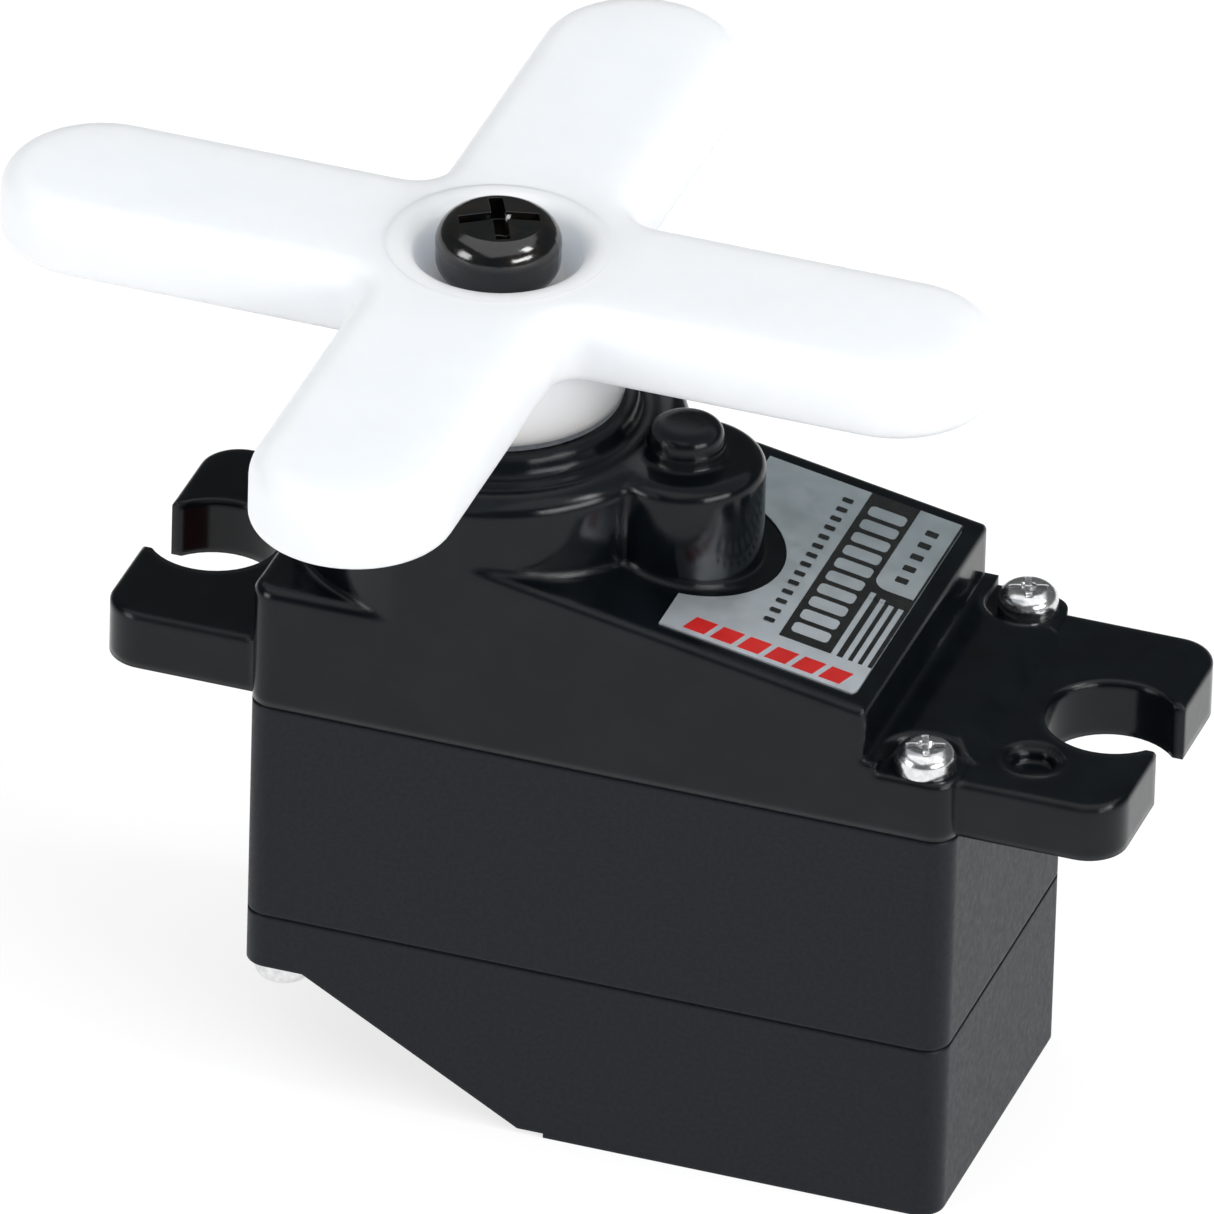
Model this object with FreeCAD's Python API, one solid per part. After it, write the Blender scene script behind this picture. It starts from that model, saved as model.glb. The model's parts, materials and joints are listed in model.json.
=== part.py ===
import FreeCAD, Part
import math
import os

# Micro servo motor in a 12 mm wide case, with metal gears, a ball bearing and a four-arm horn.
# Millimetres. The origin is midway between the two tab slots, on the underside of the tabs.
# +X runs from the output end to the motor end, +Z along the output axis towards the horn.

# ---- case ----
CASE_HALF_LENGTH = 11.5
CASE_HALF_WIDTH = 6.0
CASE_CORNER_R = 0.8
INNER_CORNER_R = 0.3
WALL = 0.8
PLATE_T = 1.0            # the middle case's top plate, which carries the gear train
LOWER_PARTING_Z = -7.6
GROOVE = 0.1             # shallow groove along each parting line
BASE_LEFT_Z = -9.5       # the raised part of the base, under the output end
BASE_SLOPE_X0 = -9.44
BASE_SLOPE_X1 = -2.25
BASE_LIP_X = -1.4
BASE_Z = -13.65
BASE_STEP = 0.15
INLET_HALF_WIDTH = 1.9   # the notch in the output end wall, where a lead would come out
INLET_Z = -8.6
INLET_DEPTH = 1.2

# ---- mounting tabs ----
TAB_HALF_LENGTH = 16.6
TAB_HALF_WIDTH = 5.35
TAB_T = 1.9
TAB_CORNER_R = 1.3
SLOT_X = 14.7
SLOT_R = 2.1
SLOT_MOUTH = 2.8
TAB_EDGE_R = 0.15
TAB_ROOT = 1.0           # how far each tab reaches into the cover
DIMPLE_X = 13.2
DIMPLE_Y = -3.2
DIMPLE_RIM = (0.95, 0.12)     # radius and depth
DIMPLE_WELL = (0.7, 0.5)

# ---- top cover ----
SHELF_Z = 4.15
SHELF_EDGE_R = 0.35
DECK_END_X = 8.6
DECK_END_Z = 4.15
DECK_SLOPE = 0.178
DECK_EDGE_R = 0.2
BAR_Z = 2.35
BAR_CREST_X = 11.0        # where the bar's top ends and its slope down to the tab starts
BAR_FOOT_X = 11.65
BAR_CREST_R = 0.6
POCKET_Z = 2.0
POCKET_R = 1.3
POCKET_EDGE_R = 0.25
POCKET_SIDE = 0.9        # from a screw to the straight wall between its pocket and the bar
TOWER_R = 6.1
TOWER_Z = 8.7
TOWER_EDGE_R = 0.6
TOWER_FOOT_R = 0.15       # rounds the corner between the towers and the deck
COLLAR_R0 = 4.83
COLLAR_R1 = 4.45
COLLAR_Z = 9.4
COLLAR_STEP = (0.2, 0.12)      # how far the step at the collar's foot stands out and up
SMALL_TOWER_R = 2.5
SMALL_TOWER_EDGE_R = 0.45
KNOB_R = 1.17
KNOB_Z = 9.8
KNOB_EDGE_R = 0.4
KNOB_RING = (0.06, 0.45)      # how far the ring at the knob's foot stands out and up
SEAT_DEPTH = 0.5              # how far the collar and the knob reach down into their towers

# ---- axes of the gear train ----
OUT_X = -5.65
TRAIN_MODULE = 0.25
INPUT_MODULE = 0.2
TRAIN_TEETH_SUM = 52     # each pair of train gears has this many teeth in all
IDLE_Y = -0.6
IDLE_X = OUT_X + math.sqrt((TRAIN_MODULE * TRAIN_TEETH_SUM / 2) ** 2 - IDLE_Y ** 2)
MOTOR_TEETH = 9
FIRST_TEETH = 39
FIRST_PINION_TEETH = 13
SECOND_TEETH = 39
SECOND_PINION_TEETH = 20
THIRD_TEETH = 32
THIRD_PINION_TEETH = 13
OUTPUT_TEETH = 39
MOTOR_X = IDLE_X + math.sqrt((INPUT_MODULE * (MOTOR_TEETH + FIRST_TEETH) / 2) ** 2 - IDLE_Y ** 2)

# ---- tooth form ----
PRESSURE_ANGLE = math.radians(25)
ADDENDUM = 0.8           # in modules
DEDENDUM = 1.05
BACKLASH = 0.03          # taken off each tooth's thickness at the pitch circle
FLANK_STEPS = 3
IDLE_WEB_R = (1.7, 3.1)  # where the lightening holes start and end
OUT_WEB_R = (2.2, 4.0)
LIGHTENING_HOLES = 6

# ---- gear heights ----
MOTOR_PINION_Z = (0.3, 1.25)
FIRST_Z = (0.4, 1.1)
FIRST_PINION_Z = (1.1, 2.2)
SECOND_Z = (1.3, 2.2)
SECOND_PINION_Z = (2.2, 3.7)
THIRD_Z = (2.6, 3.5)
THIRD_PINION_Z = (3.5, 6.95)
OUTPUT_Z = (5.1, 6.9)
TRAIN_ROOF_Z = 7.1
TOOTH_CLEARANCE = 0.22   # from a gear's tips to the cover
AXIAL_CLEARANCE = 0.25
MOTOR_ROOM = 0.84        # round the motor pinion, for the motor's nose too
AXLE_R = 0.5
AXLE_BOSS_R = 0.9
AXLE_BOSS_Z = 0.3
AXLE_TOP_Z = 9.0
SPACER_R = 1.05

# ---- output shaft, bearing and lower bush ----
SPINDLE_R = 1.0
SPINDLE_Z = -0.9
GEAR_SEAT_R = 1.4
GEAR_SEAT_Z = 3.9
SHAFT_R = 2.5
FLANGE_R = 2.8
SPLINE_TEETH = 21
SPLINE_R = 2.4
SPLINE_ROOT_R = 2.2
SPLINE_TOP_Z = 12.5
SCREW_BORE_R = 0.8
SCREW_BORE_Z = 8.0
BEARING_Z = (7.42, 9.35)
BEARING_THROAT_R = 3.4
BEARING_R = 4.0
INNER_RACE_R = 2.93
OUTER_RACE_R = 3.57
BALL_PITCH_R = 3.25
BALL_R = 0.4
BALL_COUNT = 9
BALL_Z = (BEARING_Z[0] + BEARING_Z[1]) / 2
BALL_GROOVE_R = 0.44
CAGE_GAP = 0.02
CAGE_HALF_T = 0.15
CAGE_Z = (-0.3, 0.6)     # from the middle of the balls
RUNNING_GAP = 0.04
END_GAP = 0.1
BUSH_R = 1.55
BUSH_FLANGE_R = 2.25
BUSH_FLANGE_T = 0.3

# ---- horn ----
HUB_Z = 9.6
HUB_R = 4.06
HUB_TOP_R = 4.2
ARM_Z = (12.1, 14.45)
ARM_HALF_WIDTH = 3.2
ARM_LENGTH_X = 16.1
ARM_LENGTH_Y = 16.5
ARM_CORNER_R = 1.0
ARM_TOP_EDGE_R = 0.85
ARM_LOW_EDGE_R = 0.35
RIM_R = 3.5
RIM_Z = 14.5
COUNTERBORE_FLOOR_R = 2.15
COUNTERBORE_R = 2.6           # at the top of its sloping wall
COUNTERBORE_Z = 13.3
COUNTERBORE_EDGE_R = 0.6      # the rounding between the counterbore and the rim
HORN_BORE_R = 0.9
HEAD_SEAT_R = 1.45
HEAD_R = 1.95
HEAD_SIDE_Z = (14.05, 14.4)   # where the pan head is widest
HEAD_TOP_R = 1.4
HEAD_EDGE_Z = 15.35
HEAD_TOP_Z = 15.5
HEAD_BULGE = (0.15, 0.2)
HORN_SCREW_TIP_Z = 8.4
HORN_RECESS = (1.25, 0.75)    # reach and depth of the cross recess
HORN_RECESS_TURN = 25         # degrees

# ---- case screws ----
TOP_SCREW_X = 10.3
TOP_SCREW_Y = 5.0
BASE_SCREW_X = -10.4
BASE_SCREW_Y = 4.9
SCREW_HEAD_R = 0.95
SCREW_HEAD_H = 0.8
SCREW_HEAD_EDGE_R = 0.45
SCREW_RECESS = (0.6, 0.32)
SCREW_RECESS_TURN = 20
SCREW_R = 0.5
SCREW_CLEAR_R = 0.56
TIP_GAP = 0.2                 # free depth past each screw's tip
BOSS_R = 1.1
TOP_SCREW_TIP_Z = -11.6
BASE_SCREW_TIP_Z = 2.6

# ---- cross recesses, as shares of the recess's reach and depth ----
RECESS_SLOT = 0.36            # slot width
RECESS_CENTRE = (0.14, 0.48)  # radii of the tapered middle, at its tip and at its mouth
RECESS_TIP = 1.3              # depth of the tapered middle

# ---- motor ----
CAN_R = 4.8
CAN_WALL = 0.35
CAN_EDGE_R = 0.5
CAN_Z = (-10.8, -1.05)
CAN_NOSE_R = 1.6
CAN_NOSE_Z = -0.15
MOTOR_SHAFT_R = 0.5
MOTOR_SHAFT_Z = (-11.3, 1.35)
FRONT_BUSH_R = 1.1
REAR_BUSH_R = 1.0
END_CAP_Z = -11.6
END_CAP_INSET = 0.15
END_CAP_LIP = 0.5             # how far the end cap reaches into the can
END_CAP_WALL = 1.0
END_CAP_FLOOR_Z = -11.1
END_BOSS_R = 1.4
END_BOSS_H = 0.3
MAGNET_R = (3.5, 4.4)
MAGNET_Z = (-8.4, -2.0)
MAGNET_HALF_ANGLE = 62
ROTOR_R = 3.25
ROTOR_Z = (-8.2, -2.6)
POLE_COUNT = 3
CORE_R = 1.1
SPOKE_HALF_WIDTH = 0.45
SHOE_R = 2.7
SHOE_HALF_ANGLE = 50
COIL_R = (1.4, 2.45)          # where a coil starts and ends along its pole
COIL_HALF_WIDTH = 1.0
COIL_END = 0.6                # how far the coils stand past the core's ends
COIL_CORNER_R = 0.3
COIL_GAP = 0.05
COMMUTATOR_R = 1.15
COMMUTATOR_Z = (-10.6, -8.9)
COMMUTATOR_SLOT = 0.16
COMMUTATOR_SLOT_R = 0.85
BRUSH_T = 0.2
BRUSH_GAP = 0.05
BRUSH_HALF_LENGTH = 1.6
BRUSH_Z = (-10.2, -9.4)
BRUSH_FOOT_Y = (1.4, 1.9)
TAG_X = (-2.6, -1.6)          # from the motor's axis
TAG_Y = 2.6
TAG_HALF_WIDTH = 0.6
TAG_T = 0.25

# ---- potentiometer ----
POT_R = 4.3
POT_Z = (-4.4, -1.0)
POT_WALL = 0.4
POT_SHAFT_R = 0.6
POT_SHAFT_TOP_Z = 1.2
POT_COVER_T = 0.3
POT_COVER_BORE_R = 0.95
TRACK_R = (2.4, 3.4)
TRACK_T = 0.15
TRACK_GAP_HALF = 0.6
POT_DISC_R = 3.5
POT_DISC_Z = (-3.1, -2.3)
POT_SHAFT_Z = -3.7
WIPER_Y = (0.9, 3.1)
WIPER_HALF_WIDTH = 0.5
WIPER_T = 0.15
FINGER_Y = (2.7, 3.0)
FINGER_HALF_WIDTH = 0.3
FINGER_Z = -3.8
PIN_PITCH = 2.0
PIN_HALF_WIDTH = 0.2
PIN_Y = (-3.7, -3.4)

# ---- circuit board ----
BOARD_X = (-9.0, 0.2)
BOARD_HALF_WIDTH = 4.9
BOARD_Z = (-7.3, -6.5)
CONTROL_CHIP = (4.0, 4.0, 0.8)     # length, width and height
CONTROL_CHIP_X = -3.0
DRIVER_CHIP = (2.9, 1.6, 0.7)
DRIVER_CHIP_X = -2.6
DRIVER_CHIP_Y = 3.6
SMALL_CHIP = (0.6, 1.1, 0.35)
SMALL_CHIP_X = (-5.8, -7.0, -8.2)
SMALL_CHIP_Y = (-1.8, 0.0, 1.8)
LEAD_X = -0.45
LEAD_R = 0.3
LEAD_BEND = 0.8
LEAD_END_X = -1.7                  # from the motor's axis

# ---- labels ----
LABEL_T = 0.06
DECK_LABEL_X = (1.65, 8.05)
DECK_LABEL_HALF_WIDTH = 5.3
DECK_LABEL_CORNER_R = 0.3
DECK_CUT_Y = -0.4                  # the round cut-out beside the small tower
DECK_CUT_R = 3.15
END_LABEL_HALF_WIDTH = 5.15
END_LABEL_Z = (-5.8, -0.5)

# ---- cutting shapes ----
PAST = 1.0               # how far a cutting shape passes the face that it opens
FAR = 20.0               # beyond the whole case
TINY = 1e-6
NEAR = 0.01


# ---- general shapes ----
def box(x0, x1, y0, y1, z0, z1):
    return Part.makeBox(x1 - x0, y1 - y0, z1 - z0, FreeCAD.Vector(x0, y0, z0))


def cyl(x, y, z0, z1, r):
    return Part.makeCylinder(r, z1 - z0, FreeCAD.Vector(x, y, z0))


def cone(x, y, z0, z1, r0, r1):
    return Part.makeCone(r0, r1, z1 - z0, FreeCAD.Vector(x, y, z0))


def ring(x, y, z0, z1, r_in, r_out):
    return cyl(x, y, z0, z1, r_out).cut(cyl(x, y, z0 - PAST, z1 + PAST, r_in))


def prism(points, z0, z1):
    """A vertical prism over a closed outline of (x, y) points."""
    ends = [FreeCAD.Vector(x, y, z0) for x, y in points]
    face = Part.Face(Part.makePolygon(ends + ends[:1]))
    return face.extrude(FreeCAD.Vector(0, 0, z1 - z0))


def profile_along_y(points, half_width):
    """A solid of constant (x, z) profile, centred on Y."""
    ends = [FreeCAD.Vector(x, -half_width, z) for x, z in points]
    face = Part.Face(Part.makePolygon(ends + ends[:1]))
    return face.extrude(FreeCAD.Vector(0, 2 * half_width, 0))


def is_upright(edge):
    a, b = edge.Vertexes[0].Point, edge.Vertexes[-1].Point
    return abs(a.x - b.x) < TINY and abs(a.y - b.y) < TINY and abs(a.z - b.z) > TINY


def is_level(edge, z):
    return all(abs(v.Point.z - z) < TINY for v in edge.Vertexes)


def fillet_level(shape, z, r):
    return shape.makeFillet(r, [e for e in shape.Edges if is_level(e, z)])


def block(x0, x1, half_width, z0, z1, corner_r):
    """A box centred on Y with rounded upright corners."""
    shape = box(x0, x1, -half_width, half_width, z0, z1)
    return shape.makeFillet(corner_r, [e for e in shape.Edges if is_upright(e)])


def case_block(z0, z1, inset=0.0):
    corner = max(CASE_CORNER_R - inset, INNER_CORNER_R)
    return block(-CASE_HALF_LENGTH + inset, CASE_HALF_LENGTH - inset, CASE_HALF_WIDTH - inset, z0, z1, corner)


def fuse_all(shapes):
    return shapes[0].fuse(shapes[1:]).removeSplitter()


def polar(x, y, r, angle):
    return x + r * math.cos(angle), y + r * math.sin(angle)


def around(count, start=0.0):
    return [start + 2 * math.pi * k / count for k in range(count)]


# ---- gears ----
def involute_angle(base_r, r):
    """The polar angle that an involute from base_r has swept at radius r."""
    if r <= base_r:
        return 0.0
    roll = math.sqrt((r / base_r) ** 2 - 1)
    return roll - math.atan(roll)


def gear_outline(x, y, module, teeth, tooth_angle):
    """An involute gear's outline, with one tooth centred on tooth_angle."""
    pitch_r = module * teeth / 2
    base_r = pitch_r * math.cos(PRESSURE_ANGLE)
    tip_r = pitch_r + ADDENDUM * module
    root_r = pitch_r - DEDENDUM * module
    half_thick = (math.pi * module / 2 - BACKLASH) / 2 / pitch_r
    at_base = half_thick + involute_angle(base_r, pitch_r)
    start_r = max(base_r, root_r)
    radii = [start_r + (tip_r - start_r) * k / FLANK_STEPS for k in range(FLANK_STEPS + 1)]
    flank = [(r, at_base - involute_angle(base_r, r)) for r in radii]
    if root_r < base_r:
        flank.insert(0, (root_r, at_base))
    points = []
    for centre in around(teeth, tooth_angle):
        points += [polar(x, y, r, centre - a) for r, a in flank]
        points += [polar(x, y, r, centre + a) for r, a in reversed(flank)]
    return points


def gear(x, y, module, teeth, tooth_angle, z_range, bore_r):
    wheel = prism(gear_outline(x, y, module, teeth, tooth_angle), z_range[0], z_range[1])
    return wheel.cut(cyl(x, y, z_range[0] - PAST, z_range[1] + PAST, bore_r))


def sleeved_pinion(x, y, teeth, tooth_angle, z_range, sleeve_z, sleeve_r, bore_r):
    """A pinion over the plain sleeve on which its wheel is pressed."""
    pinion = prism(gear_outline(x, y, TRAIN_MODULE, teeth, tooth_angle), z_range[0], z_range[1])
    sleeve = cyl(x, y, sleeve_z[0], sleeve_z[1], sleeve_r)
    return pinion.fuse(sleeve).cut(cyl(x, y, sleeve_z[0] - PAST, z_range[1] + PAST, bore_r))


def lighten(wheel, x, y, z_range, web_r):
    """Drill a circle of round lightening holes through a wheel's web."""
    middle_r = (web_r[0] + web_r[1]) / 2
    hole_r = (web_r[1] - web_r[0]) / 2
    holes = []
    for angle in around(LIGHTENING_HOLES):
        hx, hy = polar(x, y, middle_r, angle)
        holes.append(cyl(hx, hy, z_range[0] - PAST, z_range[1] + PAST, hole_r))
    return wheel.cut(holes)


MOTOR_TO_IDLE = math.atan2(IDLE_Y, IDLE_X - MOTOR_X)
IDLE_TO_OUT = math.atan2(-IDLE_Y, OUT_X - IDLE_X)


def facing_gap(angle, teeth):
    """The tooth angle that puts a gap opposite a mating tooth which points along angle."""
    return angle + math.pi + math.pi / teeth


def motor_pinion():
    return gear(MOTOR_X, 0, INPUT_MODULE, MOTOR_TEETH, MOTOR_TO_IDLE, MOTOR_PINION_Z, MOTOR_SHAFT_R)


def first_wheel():
    angle = facing_gap(MOTOR_TO_IDLE, FIRST_TEETH)
    wheel = gear(IDLE_X, IDLE_Y, INPUT_MODULE, FIRST_TEETH, angle, FIRST_Z, SPINDLE_R)
    return lighten(wheel, IDLE_X, IDLE_Y, FIRST_Z, IDLE_WEB_R)


def first_pinion():
    return sleeved_pinion(IDLE_X, IDLE_Y, FIRST_PINION_TEETH, IDLE_TO_OUT, FIRST_PINION_Z, FIRST_Z,
                          SPINDLE_R, AXLE_R + RUNNING_GAP)


def second_wheel():
    angle = facing_gap(IDLE_TO_OUT, SECOND_TEETH)
    wheel = gear(OUT_X, 0, TRAIN_MODULE, SECOND_TEETH, angle, SECOND_Z, GEAR_SEAT_R)
    return lighten(wheel, OUT_X, 0, SECOND_Z, OUT_WEB_R)


def second_pinion():
    return sleeved_pinion(OUT_X, 0, SECOND_PINION_TEETH, IDLE_TO_OUT + math.pi, SECOND_PINION_Z, SECOND_Z,
                          GEAR_SEAT_R, SPINDLE_R + RUNNING_GAP)


def third_wheel():
    angle = facing_gap(IDLE_TO_OUT + math.pi, THIRD_TEETH)
    wheel = gear(IDLE_X, IDLE_Y, TRAIN_MODULE, THIRD_TEETH, angle, THIRD_Z, SPINDLE_R)
    return lighten(wheel, IDLE_X, IDLE_Y, THIRD_Z, IDLE_WEB_R)


def third_pinion():
    return sleeved_pinion(IDLE_X, IDLE_Y, THIRD_PINION_TEETH, IDLE_TO_OUT, THIRD_PINION_Z, THIRD_Z,
                          SPINDLE_R, AXLE_R + RUNNING_GAP)


def output_gear():
    angle = facing_gap(IDLE_TO_OUT, OUTPUT_TEETH)
    wheel = gear(OUT_X, 0, TRAIN_MODULE, OUTPUT_TEETH, angle, OUTPUT_Z, GEAR_SEAT_R)
    return lighten(wheel, OUT_X, 0, OUTPUT_Z, OUT_WEB_R)


def idle_axle():
    return cyl(IDLE_X, IDLE_Y, -WALL, AXLE_TOP_Z, AXLE_R)


def idle_spacer():
    """The washer between the two compound gears of the idle axle."""
    return ring(IDLE_X, IDLE_Y, FIRST_PINION_Z[1] + END_GAP, THIRD_Z[0] - END_GAP,
                AXLE_R + RUNNING_GAP, SPACER_R)


# ---- output shaft, bearing ----
def spline_outline():
    points = []
    for angle in around(2 * SPLINE_TEETH):
        is_tip = len(points) % 2 == 0
        points.append(polar(OUT_X, 0, SPLINE_R if is_tip else SPLINE_ROOT_R, angle))
    return points


def output_shaft():
    lower = cyl(OUT_X, 0, SPINDLE_Z, GEAR_SEAT_Z, SPINDLE_R)
    seat = cyl(OUT_X, 0, GEAR_SEAT_Z, OUTPUT_Z[1], GEAR_SEAT_R)
    flange = cyl(OUT_X, 0, OUTPUT_Z[1], BEARING_Z[0], FLANGE_R)
    journal = cyl(OUT_X, 0, BEARING_Z[0], BEARING_Z[1], SHAFT_R)
    spline = prism(spline_outline(), BEARING_Z[1], SPLINE_TOP_Z)
    shaft = fuse_all([lower, seat, flange, journal, spline])
    shaft = shaft.cut(cyl(OUT_X, 0, SPINDLE_Z - PAST, POT_SHAFT_TOP_Z, POT_SHAFT_R))
    return shaft.cut(cyl(OUT_X, 0, SCREW_BORE_Z, SPLINE_TOP_Z + PAST, SCREW_BORE_R))


def lower_bush():
    """The flanged brass bush in the plate. The second gear runs on its top face."""
    top_z = SECOND_Z[0] - END_GAP
    sleeve = cyl(OUT_X, 0, -PLATE_T, top_z, BUSH_R)
    flange = cyl(OUT_X, 0, 0, BUSH_FLANGE_T, BUSH_FLANGE_R)
    bore = cyl(OUT_X, 0, -PLATE_T - PAST, top_z + PAST, SPINDLE_R + RUNNING_GAP)
    return sleeve.fuse(flange).cut(bore)


def ball_groove():
    return Part.makeTorus(BALL_PITCH_R, BALL_GROOVE_R, FreeCAD.Vector(OUT_X, 0, BALL_Z))


def bearing_inner_race():
    return ring(OUT_X, 0, BEARING_Z[0], BEARING_Z[1], SHAFT_R, INNER_RACE_R).cut(ball_groove())


def bearing_outer_race():
    return ring(OUT_X, 0, BEARING_Z[0], BEARING_Z[1], OUTER_RACE_R, BEARING_R).cut(ball_groove())


def balls(r):
    centres = [polar(OUT_X, 0, BALL_PITCH_R, angle) for angle in around(BALL_COUNT)]
    return [Part.makeSphere(r, FreeCAD.Vector(x, y, BALL_Z)) for x, y in centres]


def bearing_balls():
    return Part.makeCompound(balls(BALL_R))


def bearing_cage():
    cage = ring(OUT_X, 0, BALL_Z + CAGE_Z[0], BALL_Z + CAGE_Z[1],
                BALL_PITCH_R - CAGE_HALF_T, BALL_PITCH_R + CAGE_HALF_T)
    return cage.cut(balls(BALL_R + CAGE_GAP))


# ---- horn ----
def cross_recess(x, y, z_top, size, turn):
    """A cross-shaped recess with a tapered middle, which enters a screw head from above."""
    reach, depth = size
    half = reach * RECESS_SLOT / 2
    bottom = z_top - depth
    along_x = box(x - reach, x + reach, y - half, y + half, bottom, z_top + PAST)
    along_y = box(x - half, x + half, y - reach, y + reach, bottom, z_top + PAST)
    centre = cone(x, y, z_top - depth * RECESS_TIP, z_top + NEAR,
                  reach * RECESS_CENTRE[0], reach * RECESS_CENTRE[1])
    recess = fuse_all([along_x, along_y, centre])
    recess.rotate(FreeCAD.Vector(x, y, 0), FreeCAD.Vector(0, 0, 1), turn)
    return recess


def horn_arms():
    half = ARM_HALF_WIDTH
    arms = []
    for angle, length in ((0, ARM_LENGTH_X), (90, ARM_LENGTH_Y), (180, ARM_LENGTH_X), (270, ARM_LENGTH_Y)):
        centre = length - half
        arm = box(0, centre, -half, half, ARM_Z[0], ARM_Z[1])
        arm = arm.fuse(cyl(centre, 0, ARM_Z[0], ARM_Z[1], half))
        arm.rotate(FreeCAD.Vector(0, 0, 0), FreeCAD.Vector(0, 0, 1), angle)
        arms.append(arm)
    cross = fuse_all(arms)
    corners = [e for e in cross.Edges if is_upright(e) and abs(abs(e.Vertexes[0].Point.x) - half) < NEAR
               and abs(abs(e.Vertexes[0].Point.y) - half) < NEAR]
    cross = cross.makeFillet(ARM_CORNER_R, corners)
    cross = fillet_level(cross, ARM_Z[1], ARM_TOP_EDGE_R)
    cross = fillet_level(cross, ARM_Z[0], ARM_LOW_EDGE_R)
    cross.translate(FreeCAD.Vector(OUT_X, 0, 0))
    return cross


def turned(profile):
    """A solid of revolution round the output axis, from a closed wire of (r, z) edges."""
    wire = Part.Wire(profile)
    wire.translate(FreeCAD.Vector(OUT_X, 0, 0))
    return Part.Face(wire).revolve(FreeCAD.Vector(OUT_X, 0, 0), FreeCAD.Vector(0, 0, 1), 360)


def line(start, end):
    return Part.makeLine(FreeCAD.Vector(start[0], 0, start[1]), FreeCAD.Vector(end[0], 0, end[1]))


def bulge(start, end, height):
    """An arc that stands height proud of the chord from start to end, on the chord's right."""
    dx, dz = end[0] - start[0], end[1] - start[1]
    length = math.hypot(dx, dz)
    middle = FreeCAD.Vector((start[0] + end[0]) / 2 + height * dz / length, 0,
                            (start[1] + end[1]) / 2 - height * dx / length)
    arc = Part.Arc(FreeCAD.Vector(start[0], 0, start[1]), middle, FreeCAD.Vector(end[0], 0, end[1]))
    return arc.toShape()


def counterbore():
    """The recess round the horn screw's head, which widens upwards to a rounded mouth."""
    mouth_r = COUNTERBORE_R + COUNTERBORE_EDGE_R
    sag = COUNTERBORE_EDGE_R * (1 - math.sqrt(0.5))
    floor = (COUNTERBORE_FLOOR_R, COUNTERBORE_Z)
    wall_top = (COUNTERBORE_R, RIM_Z - COUNTERBORE_EDGE_R)
    mouth = (mouth_r, RIM_Z)
    above = (mouth_r, RIM_Z + PAST)
    return turned([
        line((0, COUNTERBORE_Z), floor),
        line(floor, wall_top),
        bulge(wall_top, mouth, -sag),
        line(mouth, above),
        line(above, (0, RIM_Z + PAST)),
        line((0, RIM_Z + PAST), (0, COUNTERBORE_Z)),
    ])


def horn():
    hub = cone(OUT_X, 0, HUB_Z, ARM_Z[0] + 2 * ARM_LOW_EDGE_R, HUB_R, HUB_TOP_R)
    rim = cyl(OUT_X, 0, COUNTERBORE_Z, RIM_Z, RIM_R)
    body = fuse_all([horn_arms(), hub, rim])
    body = body.cut(prism(spline_outline(), HUB_Z - PAST, SPLINE_TOP_Z + END_GAP))
    body = body.cut(cyl(OUT_X, 0, HUB_Z, COUNTERBORE_Z + PAST, HORN_BORE_R))
    return body.cut(counterbore())


def horn_screw():
    """The pan-head screw that holds the horn."""
    seat = (HEAD_SEAT_R, COUNTERBORE_Z)
    low = (HEAD_R, HEAD_SIDE_Z[0])
    high = (HEAD_R, HEAD_SIDE_Z[1])
    edge = (HEAD_TOP_R, HEAD_EDGE_Z)
    head = turned([
        line((0, COUNTERBORE_Z), seat),
        bulge(seat, low, HEAD_BULGE[0]),
        line(low, high),
        bulge(high, edge, HEAD_BULGE[1]),
        line(edge, (0, HEAD_TOP_Z)),
        line((0, HEAD_TOP_Z), (0, COUNTERBORE_Z)),
    ])
    head = head.cut(cross_recess(OUT_X, 0, HEAD_EDGE_Z, HORN_RECESS, HORN_RECESS_TURN))
    return head.fuse(cyl(OUT_X, 0, HORN_SCREW_TIP_Z, COUNTERBORE_Z, SCREW_BORE_R))


# ---- top cover ----
def deck_z(x):
    return DECK_END_Z + DECK_SLOPE * (DECK_END_X - x)


def shelf():
    """The low step under the output tower."""
    solid = fillet_level(case_block(0, SHELF_Z), SHELF_Z, SHELF_EDGE_R)
    return solid.cut(box(OUT_X, FAR, -FAR, FAR, POCKET_Z, FAR))


def deck():
    """The deck that slopes down from the towers to the motor end."""
    profile = [(OUT_X, 0), (DECK_END_X, 0), (DECK_END_X, DECK_END_Z), (OUT_X, deck_z(OUT_X))]
    solid = profile_along_y(profile, CASE_HALF_WIDTH)
    top = [e for e in solid.Edges if e.BoundBox.ZMin > DECK_END_Z - NEAR and e.BoundBox.XMax > OUT_X + NEAR]
    end = [e for e in solid.Edges if is_upright(e) and e.BoundBox.XMin > DECK_END_X - NEAR]
    return solid.makeFillet(DECK_EDGE_R, top + end)


def towers():
    tower = fillet_level(cyl(OUT_X, 0, 0, TOWER_Z, TOWER_R), TOWER_Z, TOWER_EDGE_R)
    tower = tower.common(case_block(0, TOWER_Z + PAST))
    small = fillet_level(cyl(IDLE_X, IDLE_Y, 0, TOWER_Z, SMALL_TOWER_R), TOWER_Z, SMALL_TOWER_EDGE_R)
    seat_z = TOWER_Z - SEAT_DEPTH
    collar = cone(OUT_X, 0, seat_z, COLLAR_Z, COLLAR_R0, COLLAR_R1)
    step = cyl(OUT_X, 0, seat_z, TOWER_Z + COLLAR_STEP[1], COLLAR_R0 + COLLAR_STEP[0])
    knob = fillet_level(cyl(IDLE_X, IDLE_Y, seat_z, KNOB_Z, KNOB_R), KNOB_Z, KNOB_EDGE_R)
    foot = cyl(IDLE_X, IDLE_Y, seat_z, TOWER_Z + KNOB_RING[1], KNOB_R + KNOB_RING[0])
    return [tower, small, collar, step, knob, foot]


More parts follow.
